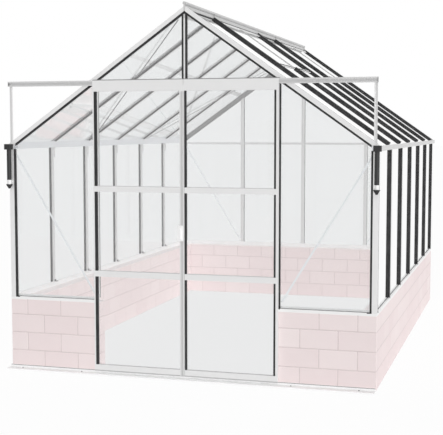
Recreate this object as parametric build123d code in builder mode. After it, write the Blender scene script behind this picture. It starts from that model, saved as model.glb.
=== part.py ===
"""A glass greenhouse on a low block wall, with a pair of sliding doors hung from an overhead rail.

Millimetres, +Z up, the door gable faces -Y, the origin is on the ground under the middle of the part.
"""
import os
from math import cos, radians, sin, tan

from build123d import *

os.makedirs("parts", exist_ok=True)

# Bays of the frame
bay_pitch = 740.0
bays_wide = 4
bays_long = 6
corner_post_width = 40.0

# Dwarf wall
wall_height = 566.0
wall_thickness = 140.0

# Roof
eave_height = 1794.0
roof_pitch = 35.15
roof_edge_rise = 57.0

# Clearances
seat_gap = 0.3
running_gap = 5.0

# Glazing bar section
nose_width = 12.0
cover_depth = 17.0
glass_thickness = 4.0
flange_width = 40.0
flange_thickness = 3.0
stem_width = 8.0
stem_depth = 10.0
gasket_width = 15.0

# Sill
sill_base = 17.0
sill_upstand = 23.0
foot_strip_height = 8.0

# Gable rafter
rafter_nose_height = 31.0
rafter_depth = 40.0

# Ridge
ridge_fin_width = 12.0
ridge_fin_rise = 33.0
ridge_fin_drop = 93.0
ridge_cap_width = 26.0
ridge_cap_thickness = 18.0
ridge_cap_round = 8.0
ridge_seal_height = 5.0
ridge_wing_reach = 50.0
ridge_wing_thickness = 4.0

# Eave gutter
gutter_reach = 22.0
gutter_wall = 3.0
gutter_rim_height = 39.0
eave_beam_inset = 55.0
gutter_mouth_inset = 12.0
rafter_overhang = 5.0

# Roof vents
vent_length = 640.0
vent_frame_width = 28.0
vent_frame_depth = 9.0
vent_side_gap = 4.0
vent_ridge_gap = 14.0
vent_mid_bar = 14.0
vent_bays = 2
vent_count = 2
vent_lead_bays = 1

# Back gable cross bar and door lintel
cross_bar_height = 24.0
cross_bar_drop = 20.0
lintel_height = 45.0
lintel_drop = 16.0

# Overhead rail of the sliding doors
rail_height = 40.0
rail_depth = 24.0
rail_wall = 3.0
rail_lap = 5.0
rail_end_inset = 13.0
rail_lip_bottom = 5.0
rail_lip_top = 10.0
strut_width = 16.0
strut_thickness = 4.0

# Bottom track
track_reach = 92.0
track_height = 8.0
track_rib_width = 4.0
track_rib_height = 18.0

# Door leaves
door_overlap = 18.0
door_depth = 24.0
door_bottom = 20.0
door_stile = 18.0
meeting_stile = 28.0
narrow_stile = 6.0
bottom_rail = 52.0
lower_rail_share = 0.34
lower_rail = 46.0
upper_rail_share = 0.632
upper_rail = 44.0
header_drop = 47.0
hanger_plate = 4.0
hanger_drop = 1.0
door_glass_inset = 16.0

# Hanging rollers
roller_radius = 12.5
roller_width = 10.0
roller_axle_radius = 4.0
roller_edge_inset = 110.0

# Door handle
handle_width = 42.0
handle_height = 122.0
handle_middle = 1148.0
handle_plate = 8.0
handle_grip = 22.0
handle_grip_width = 14.0
handle_grip_share = 0.7
handle_corner = 8.0
handle_grip_corner = 5.0

# Flat braces
brace_width = 18.0
brace_thickness = 3.0
brace_end_rise = 30.0
brace_head_drop = 41.0
roof_brace_bays = 2

# Downpipes at the front corners
pipe_radius = 18.0
pipe_length = 245.0
pipe_inset = 10.0
pipe_cap_width = 58.0
pipe_cap_height = 44.0
pipe_cap_rise = 39.0
pipe_cap_corner = 6.0
collar_radius = 16.0
collar_height = 35.0
funnel_radius = 25.0
funnel_lip = 7.0
funnel_tip_radius = 7.0
funnel_height = 36.0

# Places worked out from the sizes above
wall_width = bays_wide * bay_pitch + corner_post_width
wall_length = bays_long * bay_pitch + corner_post_width
half_width = wall_width / 2
frame_half = bays_wide * bay_pitch / 2
front_y = (track_reach - wall_length) / 2
back_y = front_y + wall_length
middle_y = (front_y + back_y) / 2
sill_seat = wall_height + sill_base
sill_top = sill_seat + sill_upstand
glass_depth = cover_depth + glass_thickness
flange_depth = glass_depth + flange_thickness
bar_depth = flange_depth + stem_depth
slope = radians(roof_pitch)
apex_height = eave_height + roof_edge_rise + frame_half * tan(slope)
ridge_fin_top = apex_height + ridge_fin_rise
ridge_fin_bottom = apex_height - ridge_fin_drop
door_post = bay_pitch
pier_end = door_post - nose_width / 2
gasket_offset = (nose_width + gasket_width) / 2 + seat_gap
strip_depth = cover_depth - seat_gap
strip_clear = gasket_offset + gasket_width / 2 + seat_gap
rafter_strip_top = rafter_nose_height + seat_gap
rafter_strip_bottom = rafter_strip_top + gasket_width
side_bar_places = [front_y + corner_post_width / 2 + bay * bay_pitch for bay in range(1, bays_long)]
bay_starts = [front_y + corner_post_width / 2 + bay * bay_pitch for bay in range(bays_long)]
vent_first_bays = [vent_lead_bays + vent * (vent_lead_bays + vent_bays) for vent in range(vent_count)]

sides = {"left": -1, "right": 1}
up = Vector(0, 0, 1)


def section_plane(at, outward, along):
    """A plane for a bar's section: its Y points out of the building, its Z along the bar."""
    outward = Vector(outward)
    along = Vector(along)
    return Plane(origin=at, x_dir=outward.cross(along), z_dir=along)


def slope_plane(side):
    """The outer face of a roof slope, its Y pointing up to the ridge, centred along the building."""
    normal = (side * sin(slope), 0, cos(slope))
    return Plane(origin=(0, middle_y, apex_height), x_dir=(0, side, 0), z_dir=normal)


def slope_bar_plane(side, y, run):
    """A section plane across a roof slope, at a run down the slope, looking up to the ridge."""
    normal = (side * sin(slope), 0, cos(slope))
    uphill = (-side * cos(slope), 0, sin(slope))
    at = (side * run * cos(slope), y, apex_height - run * sin(slope))
    return section_plane(at, normal, uphill)


def run_at(x, depth):
    """The run down the slope at which a point at this depth under the outer face is x from the middle."""
    return (x + depth * sin(slope)) / cos(slope)


def height_at(x, depth):
    """The height of a slope's layer, at a depth square to its outer face, at x from the middle."""
    return apex_height - x * tan(slope) - depth / cos(slope)


def nose_section(plane):
    """The outer nose of a glazing bar, with the glass seated against its flange."""
    with BuildSketch(plane) as section:
        with Locations((0, -glass_depth / 2)):
            Rectangle(nose_width, glass_depth)
    return section.sketch


def stem_section(plane):
    """The flange behind the glass and the stem that stiffens it."""
    with BuildSketch(plane) as section:
        with Locations((0, -glass_depth - flange_thickness / 2)):
            Rectangle(flange_width, flange_thickness)
        with Locations((0, -flange_depth - stem_depth / 2)):
            Rectangle(stem_width, stem_depth)
    return section.sketch


def strip_section(plane, hands):
    """Black glazing strips beside a bar's nose, on the given hands; hand 0 is one on the plane itself."""
    with BuildSketch(plane) as section:
        with Locations(*[(hand * gasket_offset, -strip_depth / 2) for hand in hands]):
            Rectangle(gasket_width, strip_depth)
    return section.sketch


def write(piece, name):
    """Label a finished piece and write it as a node."""
    piece.part.label = name
    export_step(piece.part, f"parts/{name}.step")


# Dwarf wall: two piers beside the doorway, two long sides and the back
for name, side in sides.items():
    with BuildPart() as pier:
        with BuildSketch():
            with Locations((side * (half_width + pier_end) / 2, front_y + wall_thickness / 2)):
                Rectangle(half_width - pier_end, wall_thickness)
        extrude(amount=wall_height)
    write(pier, f"front_{name}_wall")

    with BuildPart() as long_wall:
        with BuildSketch():
            with Locations((side * (half_width - wall_thickness / 2), middle_y)):
                Rectangle(wall_thickness, wall_length - 2 * wall_thickness)
        extrude(amount=wall_height)
    write(long_wall, f"{name}_wall")

with BuildPart() as back_wall:
    with BuildSketch():
        with Locations((0, back_y - wall_thickness / 2)):
            Rectangle(wall_width, wall_thickness)
    extrude(amount=wall_height)
write(back_wall, "back_wall")

# Sill rails on the wall top, butted at the corners: a base under the glass and an upstand behind it
upstand_depth = glass_depth + seat_gap
upstand_width = bar_depth - upstand_depth
upstand_middle = (bar_depth + upstand_depth) / 2
upstand_end = half_width - upstand_depth
side_run = wall_length - 2 * (bar_depth + seat_gap)
with BuildPart() as sills:
    with BuildSketch(Plane.XY.offset(wall_height)):
        with Locations((0, back_y - bar_depth / 2)):
            Rectangle(wall_width, bar_depth)
        for side in sides.values():
            with Locations((side * (half_width + pier_end) / 2, front_y + bar_depth / 2)):
                Rectangle(half_width - pier_end, bar_depth)
            with Locations((side * (half_width - bar_depth / 2), middle_y)):
                Rectangle(bar_depth, side_run)
    extrude(amount=sill_base)
    with BuildSketch(Plane.XY.offset(sill_seat)):
        with Locations((0, back_y - upstand_middle)):
            Rectangle(2 * upstand_end, upstand_width)
        for side in sides.values():
            with Locations((side * (upstand_end + pier_end) / 2, front_y + upstand_middle)):
                Rectangle(upstand_end - pier_end, upstand_width)
            with Locations((side * (half_width - upstand_middle), middle_y)):
                Rectangle(upstand_width, side_run)
    extrude(amount=sill_upstand)
write(sills, "wall_sills")

post_top = eave_height - seat_gap
nose_height = post_top - sill_seat
stem_height = post_top - sill_top

# Corner posts: a square post with a lip behind the glass of each of its two walls, and a foot on the sill
with BuildPart() as corner_posts:
    with BuildSketch(Plane.XY.offset(sill_seat)):
        for side in sides.values():
            for end_y, inward in ((front_y, 1), (back_y, -1)):
                with Locations((side * frame_half, end_y + inward * glass_depth / 2)):
                    Rectangle(corner_post_width, glass_depth)
                with Locations((side * (half_width - glass_depth / 2),
                                end_y + inward * corner_post_width / 2)):
                    Rectangle(glass_depth, corner_post_width)
    extrude(amount=sill_upstand)
    with BuildSketch(Plane.XY.offset(sill_top)):
        lip_width = gasket_width
        for side in sides.values():
            for end_y, inward in ((front_y, 1), (back_y, -1)):
                inner_x = side * (half_width - corner_post_width)
                inner_y = end_y + inward * corner_post_width
                with Locations((side * frame_half, end_y + inward * corner_post_width / 2)):
                    Rectangle(corner_post_width, corner_post_width)
                with Locations((inner_x - side * lip_width / 2,
                                end_y + inward * (glass_depth + flange_thickness / 2))):
                    Rectangle(lip_width, flange_thickness)
                with Locations((side * (half_width - glass_depth - flange_thickness / 2),
                                inner_y + inward * lip_width / 2)):
                    Rectangle(flange_thickness, lip_width)
    extrude(amount=stem_height)
write(corner_posts, "corner_posts")

# Side walls: upright glazing bars, with black strips beside them, by the corner posts and at the pane feet
end_strip_inset = corner_post_width + seat_gap + gasket_width / 2
end_strip_clear = end_strip_inset + gasket_width / 2 + seat_gap
with BuildPart() as side_bars:
    for side in sides.values():
        for place in side_bar_places:
            nose_foot = section_plane((side * half_width, place, sill_seat), (side, 0, 0), up)
            extrude(nose_section(nose_foot), amount=nose_height)
            stem_foot = section_plane((side * half_width, place, sill_top), (side, 0, 0), up)
            extrude(stem_section(stem_foot), amount=stem_height)
write(side_bars, "side_wall_bars")

with BuildPart() as side_strips:
    for side in sides.values():
        for place in side_bar_places:
            foot = section_plane((side * half_width, place, sill_seat), (side, 0, 0), up)
            extrude(strip_section(foot, (-1, 1)), amount=nose_height)
        for place in (front_y + end_strip_inset, back_y - end_strip_inset):
            foot = section_plane((side * half_width, place, sill_seat), (side, 0, 0), up)
            extrude(strip_section(foot, (0,)), amount=nose_height)
    with BuildSketch(Plane.XY.offset(sill_seat)):
        for side in sides.values():
            for bay, start in enumerate(bay_starts):
                low = front_y + end_strip_clear if bay == 0 else start + strip_clear
                high = back_y - end_strip_clear if bay == bays_long - 1 else start + bay_pitch - strip_clear
                with Locations((side * (half_width - strip_depth / 2), (low + high) / 2)):
                    Rectangle(strip_depth, high - low)
    extrude(amount=foot_strip_height)
write(side_strips, "side_wall_strips")

# Side panes, one to a bay
for name, side in sides.items():
    with BuildPart() as side_glass:
        with BuildSketch(Plane.XY.offset(sill_seat + seat_gap)):
            pane_x = side * (half_width - cover_depth - glass_thickness / 2)
            for bay, start in enumerate(bay_starts):
                low = start + nose_width / 2 + seat_gap
                high = start + bay_pitch - nose_width / 2 - seat_gap
                if bay == 0:
                    low = front_y + corner_post_width + seat_gap
                if bay == bays_long - 1:
                    high = back_y - corner_post_width - seat_gap
                with Locations((pane_x, (low + high) / 2)):
                    Rectangle(glass_thickness, high - low)
        extrude(amount=nose_height - seat_gap)
    write(side_glass, f"{name}_wall_glass")

rafter_clearance = rafter_depth + seat_gap

# Eave gutters: a channel, and between the gable rafters a beam on it under the glass edge
for name, side in sides.items():
    beam_inner = half_width - eave_beam_inset
    mouth = half_width - gutter_mouth_inset
    rim = half_width + gutter_reach
    floor = eave_height + gutter_wall
    with BuildPart() as gutter:
        with BuildSketch(Plane.XZ.offset(-back_y)):
            with BuildLine():
                Polyline(
                    (side * beam_inner, eave_height),
                    (side * rim, eave_height),
                    (side * rim, eave_height + gutter_rim_height),
                    (side * (rim - gutter_wall), eave_height + gutter_rim_height),
                    (side * (rim - gutter_wall), floor),
                    (side * beam_inner, floor),
                    close=True,
                )
            make_face()
        extrude(amount=wall_length)
        with BuildSketch(Plane.XZ.offset(rafter_clearance - back_y)):
            with BuildLine():
                Polyline(
                    (side * beam_inner, floor),
                    (side * mouth, floor),
                    (side * beam_inner, height_at(beam_inner, glass_depth + seat_gap)),
                    close=True,
                )
            make_face()
        extrude(amount=wall_length - 2 * rafter_clearance)
    write(gutter, f"{name}_eave_gutter")

# Ridge: an upright fin with a rounded cap, a wing under each slope's glass, end notches for the gable strips
with BuildPart() as ridge:
    with BuildSketch(Plane.XZ.offset(-back_y)) as ridge_section:
        with Locations((0, ridge_fin_top - ridge_cap_thickness / 2)):
            Rectangle(ridge_cap_width, ridge_cap_thickness)
        fillet(ridge_section.vertices().group_by(Axis.Y)[-1], radius=ridge_cap_round)
        with Locations((0, (ridge_fin_top + ridge_fin_bottom) / 2)):
            Rectangle(ridge_fin_width, ridge_fin_top - ridge_fin_bottom)
    extrude(amount=wall_length)
    notch_top = height_at(0, rafter_nose_height)
    notch_bottom = height_at(ridge_fin_width / 2, rafter_strip_bottom + seat_gap)
    for end_y, indoors in ((front_y, 1), (back_y, -1)):
        with BuildSketch(Plane.XY.offset(notch_bottom)):
            with Locations((0, end_y + indoors * cover_depth / 2)):
                Rectangle(ridge_fin_width, cover_depth)
        extrude(amount=notch_top - notch_bottom, mode=Mode.SUBTRACT)
    with BuildSketch(Plane.XZ.offset(rafter_depth - back_y)):
        wing_top = glass_depth + seat_gap
        wing_bottom = wing_top + ridge_wing_thickness
        with BuildLine():
            Polyline(
                (0, height_at(0, wing_top)),
                (ridge_wing_reach, height_at(ridge_wing_reach, wing_top)),
                (ridge_wing_reach, height_at(ridge_wing_reach, wing_bottom)),
                (0, height_at(0, wing_bottom)),
                (-ridge_wing_reach, height_at(ridge_wing_reach, wing_bottom)),
                (-ridge_wing_reach, height_at(ridge_wing_reach, wing_top)),
                close=True,
            )
        make_face()
    extrude(amount=wall_length - 2 * rafter_depth)
write(ridge, "ridge_beam")

fin_side = ridge_fin_width / 2 + seat_gap
beam_inner = half_width - eave_beam_inset
nose_top_run = run_at(fin_side, glass_depth)
nose_end_run = run_at(half_width - gutter_mouth_inset, 0)
glass_top_run = run_at(fin_side, glass_depth)
glass_end_run = run_at(half_width - gutter_mouth_inset, glass_depth)
stem_top_run = run_at(ridge_wing_reach + seat_gap, bar_depth)
stem_end_run = run_at(beam_inner - seat_gap, glass_depth)
vent_end_run = glass_top_run + vent_ridge_gap + vent_length
vent_bars = [first + vent_bays - 1 for first in vent_first_bays]
vent_bay_list = [first + bay for first in vent_first_bays for bay in range(vent_bays)]

# Roof slopes: glazing bars, with black strips beside them, beside the gable rafters and along the ridge
with BuildPart() as roof_bars:
    for side in sides.values():
        for bar, place in enumerate(side_bar_places, start=1):
            under_vent = side > 0 and bar in vent_bars
            nose_top = vent_end_run + seat_gap if under_vent else nose_top_run
            stem_top = vent_end_run + seat_gap if under_vent else stem_top_run
            extrude(nose_section(slope_bar_plane(side, place, nose_end_run)), amount=nose_end_run - nose_top)
            extrude(stem_section(slope_bar_plane(side, place, stem_end_run)), amount=stem_end_run - stem_top)
write(roof_bars, "roof_bars")

rafter_strip_inset = rafter_depth + seat_gap + gasket_width / 2
with BuildPart() as roof_strips:
    for side in sides.values():
        strip_places = [(bar in vent_bars, place, (-1, 1))
                        for bar, place in enumerate(side_bar_places, start=1)]
        strip_places.append((False, front_y + rafter_strip_inset, (0,)))
        strip_places.append((bays_long - 1 in vent_bay_list, back_y - rafter_strip_inset, (0,)))
        for under_vent, place, hands in strip_places:
            top_run = vent_end_run + seat_gap if side > 0 and under_vent else nose_top_run
            foot = slope_bar_plane(side, place, nose_end_run)
            extrude(strip_section(foot, hands), amount=nose_end_run - top_run)
        with BuildSketch(slope_plane(side).offset(-strip_depth)):
            ridge_strip_run = glass_top_run + seat_gap + gasket_width / 2
            rafter_clear = rafter_strip_inset + gasket_width / 2 + seat_gap
            for bay, start in enumerate(bay_starts):
                low = front_y + rafter_clear if bay == 0 else start + strip_clear
                high = back_y - rafter_clear if bay == bays_long - 1 else start + bay_pitch - strip_clear
                if side < 0 or bay not in vent_bay_list:
                    with Locations((side * ((low + high) / 2 - middle_y), -ridge_strip_run)):
                        Rectangle(high - low, gasket_width)
        extrude(amount=ridge_seal_height)
write(roof_strips, "roof_strips")

# Roof panes; the right slope leaves room for its vents
for name, side in sides.items():
    with BuildPart() as roof_glass:
        with BuildSketch(slope_plane(side).offset(-cover_depth)):
            for bay, start in enumerate(bay_starts):
                low = start + nose_width / 2 + seat_gap
                high = start + bay_pitch - nose_width / 2 - seat_gap
                if bay == 0:
                    low = front_y + rafter_depth + seat_gap
                if bay == bays_long - 1:
                    high = back_y - rafter_depth - seat_gap
                under_vent = side > 0 and bay in vent_bay_list
                top_run = vent_end_run + seat_gap if under_vent else glass_top_run
                with Locations((side * ((low + high) / 2 - middle_y), -(top_run + glass_end_run) / 2)):
                    Rectangle(high - low, glass_end_run - top_run)
        extrude(amount=-glass_thickness)
    write(roof_glass, f"{name}_roof_glass")

# Roof vents on the right slope: a shallow frame hung from the ridge, with a mid bar between its two panes
vent_top_run = glass_top_run + vent_ridge_gap
vent_width = vent_bays * bay_pitch - nose_width - 2 * (gasket_width + seat_gap + vent_side_gap)
vent_places = [(bay_starts[first] + vent_bays * bay_pitch / 2 - middle_y,
                -(vent_top_run + vent_end_run) / 2) for first in vent_first_bays]
vent_pane = (vent_width - vent_mid_bar) / 2 - vent_frame_width
vent_pane_shift = (vent_pane + vent_mid_bar) / 2
vent_pane_places = [(along + hand * vent_pane_shift, run) for along, run in vent_places for hand in (-1, 1)]
with BuildPart() as vent_frames:
    with BuildSketch(slope_plane(1).offset(-glass_depth + vent_frame_depth)):
        with Locations(*vent_places):
            Rectangle(vent_width, vent_length)
        with Locations(*vent_pane_places):
            Rectangle(vent_pane, vent_length - 2 * vent_frame_width, mode=Mode.SUBTRACT)
    extrude(amount=-vent_frame_depth)
write(vent_frames, "roof_vent_frames")

with BuildPart() as vent_glass:
    with BuildSketch(slope_plane(1).offset(-cover_depth)):
        with Locations(*vent_pane_places):
            Rectangle(vent_pane - 2 * seat_gap, vent_length - 2 * vent_frame_width - 2 * seat_gap)
    extrude(amount=-glass_thickness)
write(vent_glass, "roof_vent_glass")


def rafter_nose_section(plane, inward):
    """The box of a gable rafter, square to the slope; inward is +1 where the plane's X points indoors."""
    with BuildSketch(plane) as section:
        with Locations((inward * rafter_depth / 2, -rafter_nose_height / 2)):
            Rectangle(rafter_depth, rafter_nose_height)
    return section.sketch


def rafter_lip_section(plane, inward):
    """The lips of a gable rafter, behind the gable glass and under the roof glass."""
    with BuildSketch(plane) as section:
        with Locations((inward * (glass_depth + flange_thickness / 2),
                        -rafter_nose_height - gasket_width / 2)):
            Rectangle(flange_thickness, gasket_width)
        with Locations((inward * (rafter_depth + gasket_width / 2), -glass_depth - flange_thickness / 2)):
            Rectangle(gasket_width, flange_thickness)
    return section.sketch


# Gable rafters at both ends, mitred at the ridge fin
rafter_end_run = run_at(half_width + rafter_overhang, 0)
fin_planes = {side: Plane(origin=(side * fin_side, 0, 0), z_dir=(side, 0, 0)) for side in sides.values()}
for name, end_y, indoors in (("front", front_y, 1), ("back", back_y, -1)):
    with BuildPart() as rafters:
        foot = slope_bar_plane(1, end_y, rafter_end_run)
        inward = indoors * (1 if foot.x_dir.Y > 0 else -1)
        extrude(rafter_nose_section(foot, inward), amount=rafter_end_run)
        lip_foot = slope_bar_plane(1, end_y, stem_end_run)
        extrude(rafter_lip_section(lip_foot, inward), amount=stem_end_run - stem_top_run)
        split(bisect_by=fin_planes[1], keep=Keep.TOP)
        mirror(about=Plane.YZ)
    write(rafters, f"{name}_rafters")


def under_rafters(depth):
    """Planes along both slopes at a depth under the outer face, facing out of the roof."""
    planes = []
    for side in sides.values():
        plane = slope_plane(side)
        planes.append(plane.offset(-depth))
    return planes


# Door posts and the bar over the doors, with the lintel that ties them
front_face = (0, -1, 0)
back_face = (0, 1, 0)
with BuildPart() as door_posts:
    for side in sides.values():
        nose_foot = section_plane((side * door_post, front_y, sill_seat), front_face, up)
        extrude(nose_section(nose_foot), amount=apex_height - sill_seat)
        stem_foot = section_plane((side * door_post, front_y, sill_top), front_face, up)
        extrude(stem_section(stem_foot), amount=apex_height - sill_top)
    for plane in under_rafters(rafter_strip_bottom + seat_gap):
        split(bisect_by=plane, keep=Keep.BOTTOM)
write(door_posts, "door_posts")

lintel_top = height_at(door_post, rafter_strip_bottom) - lintel_drop
with BuildPart() as lintel:
    with BuildSketch(Plane.XY.offset(lintel_top - lintel_height)):
        with Locations((0, front_y + glass_depth / 2)):
            Rectangle(2 * (pier_end - seat_gap), glass_depth)
    extrude(amount=lintel_height)
write(lintel, "door_lintel")

with BuildPart() as mullion:
    foot = section_plane((0, front_y, lintel_top + seat_gap), front_face, up)
    extrude(nose_section(foot), amount=ridge_fin_bottom - lintel_top - 2 * seat_gap)
    extrude(stem_section(foot), amount=ridge_fin_bottom - lintel_top - 2 * seat_gap)
write(mullion, "door_mullion")

# Back gable: three upright bars and a cross bar at the eaves between them
back_places = [-bay_pitch, 0, bay_pitch]
with BuildPart() as back_bars:
    for place in back_places:
        top = ridge_fin_bottom - seat_gap if place == 0 else apex_height
        nose_foot = section_plane((place, back_y, sill_seat), back_face, up)
        extrude(nose_section(nose_foot), amount=top - sill_seat)
        stem_foot = section_plane((place, back_y, sill_top), back_face, up)
        extrude(stem_section(stem_foot), amount=top - sill_top)
    for plane in under_rafters(rafter_strip_bottom + seat_gap):
        split(bisect_by=plane, keep=Keep.BOTTOM)
write(back_bars, "back_wall_bars")

bar_clear = flange_width / 2 + seat_gap
cross_bar_end = half_width - corner_post_width - gasket_width - seat_gap
with BuildPart() as cross_bars:
    with BuildSketch(Plane.XY.offset(eave_height - cross_bar_drop)):
        for side in sides.values():
            for low, high in ((bar_clear, bay_pitch - bar_clear), (bay_pitch + bar_clear, cross_bar_end)):
                with Locations((side * (low + high) / 2, back_y - upstand_middle)):
                    Rectangle(high - low, upstand_width)
    extrude(amount=cross_bar_height)
write(cross_bars, "back_cross_bars")


# Gable glass: trapezoid panes beside the doors, triangles over them
pane_depth = rafter_nose_height + seat_gap
upright_side = nose_width / 2 + seat_gap
corner_side = half_width - corner_post_width - seat_gap
for name in ("front", "back"):
    with BuildPart() as gable_glass:
        offset = -(front_y + glass_depth) if name == "front" else -(back_y - cover_depth)
        with BuildSketch(Plane.XZ.offset(offset)):
            for side in sides.values():
                with BuildLine():
                    low_x = bay_pitch + upright_side
                    pane_foot = sill_seat + seat_gap
                    Polyline(
                        (side * low_x, pane_foot),
                        (side * corner_side, pane_foot),
                        (side * corner_side, eave_height - seat_gap),
                        (side * (beam_inner - seat_gap), eave_height - seat_gap),
                        (side * (beam_inner - seat_gap), height_at(beam_inner, pane_depth)),
                        (side * low_x, height_at(low_x, pane_depth)),
                        close=True,
                    )
                make_face()
                with BuildLine():
                    high_x = bay_pitch - upright_side
                    inner_foot = lintel_top + seat_gap if name == "front" else pane_foot
                    Polyline(
                        (side * upright_side, inner_foot),
                        (side * high_x, inner_foot),
                        (side * high_x, height_at(high_x, pane_depth)),
                        (side * upright_side, height_at(upright_side, pane_depth)),
                        close=True,
                    )
                make_face()
        extrude(amount=glass_thickness)
    write(gable_glass, f"{name}_gable_glass")

# Black strips round the gable panes: beside uprights, by the corner posts, under the rafters, at the feet
corner_strip_x = half_width - corner_post_width - seat_gap - gasket_width / 2
rafter_strip_end = corner_strip_x - gasket_width / 2 - seat_gap
gables = ((front_y, 1, lintel_top + seat_gap), (back_y, -1, sill_seat))
with BuildPart() as gable_strips:
    for end_y, indoors, inner_foot in gables:
        for side in sides.values():
            outer_hand = -indoors * side
            for x, hand, foot_height in ((side * bay_pitch, outer_hand, sill_seat),
                                         (side * bay_pitch, -outer_hand, inner_foot),
                                         (0, outer_hand, inner_foot)):
                foot = section_plane((x, end_y, foot_height), (0, -indoors, 0), up)
                extrude(strip_section(foot, (hand,)), amount=apex_height - foot_height)
    for plane in under_rafters(rafter_strip_bottom + seat_gap):
        split(bisect_by=plane, keep=Keep.BOTTOM)
    for end_y, indoors, inner_foot in gables:
        for side in sides.values():
            foot = section_plane((side * corner_strip_x, end_y, sill_seat), (0, -indoors, 0), up)
            extrude(strip_section(foot, (0,)), amount=nose_height)
        with BuildSketch(Plane.XZ.offset(-end_y)):
            with BuildLine():
                Polyline(
                    (0, height_at(0, rafter_strip_top)),
                    (rafter_strip_end, height_at(rafter_strip_end, rafter_strip_top)),
                    (rafter_strip_end, height_at(rafter_strip_end, rafter_strip_bottom)),
                    (0, height_at(0, rafter_strip_bottom)),
                    (-rafter_strip_end, height_at(rafter_strip_end, rafter_strip_bottom)),
                    (-rafter_strip_end, height_at(rafter_strip_end, rafter_strip_top)),
                    close=True,
                )
            make_face()
        extrude(amount=-indoors * strip_depth)
    with BuildSketch(Plane.XY.offset(sill_seat)):
        for side in sides.values():
            outer_low = bay_pitch + strip_clear
            inner_high = bay_pitch - strip_clear
            for end_y, indoors, low, high in ((front_y, 1, outer_low, rafter_strip_end),
                                              (back_y, -1, outer_low, rafter_strip_end),
                                              (back_y, -1, strip_clear, inner_high)):
                with Locations((side * (low + high) / 2, end_y + indoors * strip_depth / 2)):
                    Rectangle(high - low, strip_depth)
    extrude(amount=foot_strip_height)
write(gable_strips, "gable_strips")

# Flat braces: across the corner bays behind the gable glass, and from each end of the ridge to the eaves
brace_foot_x = bay_pitch + flange_width / 2
brace_head_x = half_width - corner_post_width - seat_gap
brace_foot_z = sill_top + brace_end_rise
brace_head_z = eave_height - brace_head_drop
with BuildPart() as braces:
    for end_y, indoors, inner_foot in gables:
        with BuildSketch(Plane.XZ.offset(-end_y - indoors * (flange_depth + seat_gap))):
            for side in sides.values():
                with BuildLine():
                    Polyline(
                        (side * brace_foot_x, brace_foot_z),
                        (side * (brace_foot_x + brace_width), brace_foot_z),
                        (side * brace_head_x, brace_head_z),
                        (side * (brace_head_x - brace_width), brace_head_z),
                        close=True,
                    )
                make_face()
        extrude(amount=-indoors * brace_thickness)
    roof_brace_head = wall_length / 2 - rafter_depth - brace_end_rise
    roof_brace_foot = (bays_long / 2 - roof_brace_bays) * bay_pitch - stem_width / 2
    head_run = stem_top_run + brace_end_rise
    foot_run = stem_end_run - brace_end_rise
    for side in sides.values():
        with BuildSketch(slope_plane(side).offset(-bar_depth - seat_gap)):
            for end in (-1, 1):
                with BuildLine():
                    Polyline(
                        (end * roof_brace_head, -head_run),
                        (end * (roof_brace_head - brace_width), -head_run),
                        (end * roof_brace_foot, -foot_run),
                        (end * (roof_brace_foot + brace_width), -foot_run),
                        close=True,
                    )
                make_face()
        extrude(amount=-brace_thickness)
write(braces, "wind_braces")

# Overhead rail: a channel open to the front, whose lips keep the rollers in
rail_bottom = lintel_top - rail_lap
rail_top = rail_bottom + rail_height
rail_half = half_width - rail_end_inset
with BuildPart() as rail:
    with BuildSketch(Plane.YZ.offset(-rail_half)):
        with BuildLine():
            Polyline(
                (front_y, rail_bottom),
                (front_y - rail_depth, rail_bottom),
                (front_y - rail_depth, rail_bottom + rail_wall + rail_lip_bottom),
                (front_y - rail_depth + rail_wall, rail_bottom + rail_wall + rail_lip_bottom),
                (front_y - rail_depth + rail_wall, rail_bottom + rail_wall),
                (front_y - rail_wall, rail_bottom + rail_wall),
                (front_y - rail_wall, rail_top - rail_wall),
                (front_y - rail_depth + rail_wall, rail_top - rail_wall),
                (front_y - rail_depth + rail_wall, rail_top - rail_wall - rail_lip_top),
                (front_y - rail_depth, rail_top - rail_wall - rail_lip_top),
                (front_y - rail_depth, rail_top),
                (front_y, rail_top),
                close=True,
            )
        make_face()
    extrude(amount=2 * rail_half)
write(rail, "door_rail")

# Struts that carry the rail's free ends, standing on the gable rafters
with BuildPart() as struts:
    with BuildSketch(Plane.XZ.offset(-front_y - strut_thickness)):
        for side in sides.values():
            inner_x = rail_half - strut_width
            with BuildLine():
                Polyline(
                    (side * inner_x, height_at(inner_x, -seat_gap)),
                    (side * rail_half, height_at(rail_half, -seat_gap)),
                    (side * rail_half, rail_top),
                    (side * inner_x, rail_top),
                    close=True,
                )
            make_face()
    extrude(amount=strut_thickness)
write(struts, "rail_struts")

# Bottom track on the ground in front of the wall, with a guide rib under the doors
door_front = front_y - rail_depth - running_gap - hanger_plate
door_back = door_front + door_depth
door_middle_y = (door_front + door_back) / 2
with BuildPart() as track:
    with BuildSketch(Plane.YZ.offset(-half_width)):
        with Locations((front_y - track_reach / 2, track_height / 2)):
            Rectangle(track_reach, track_height)
        with Locations((door_middle_y, track_height + track_rib_height / 2)):
            Rectangle(track_rib_width, track_rib_height)
    extrude(amount=wall_width)
write(track, "bottom_track")

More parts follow.
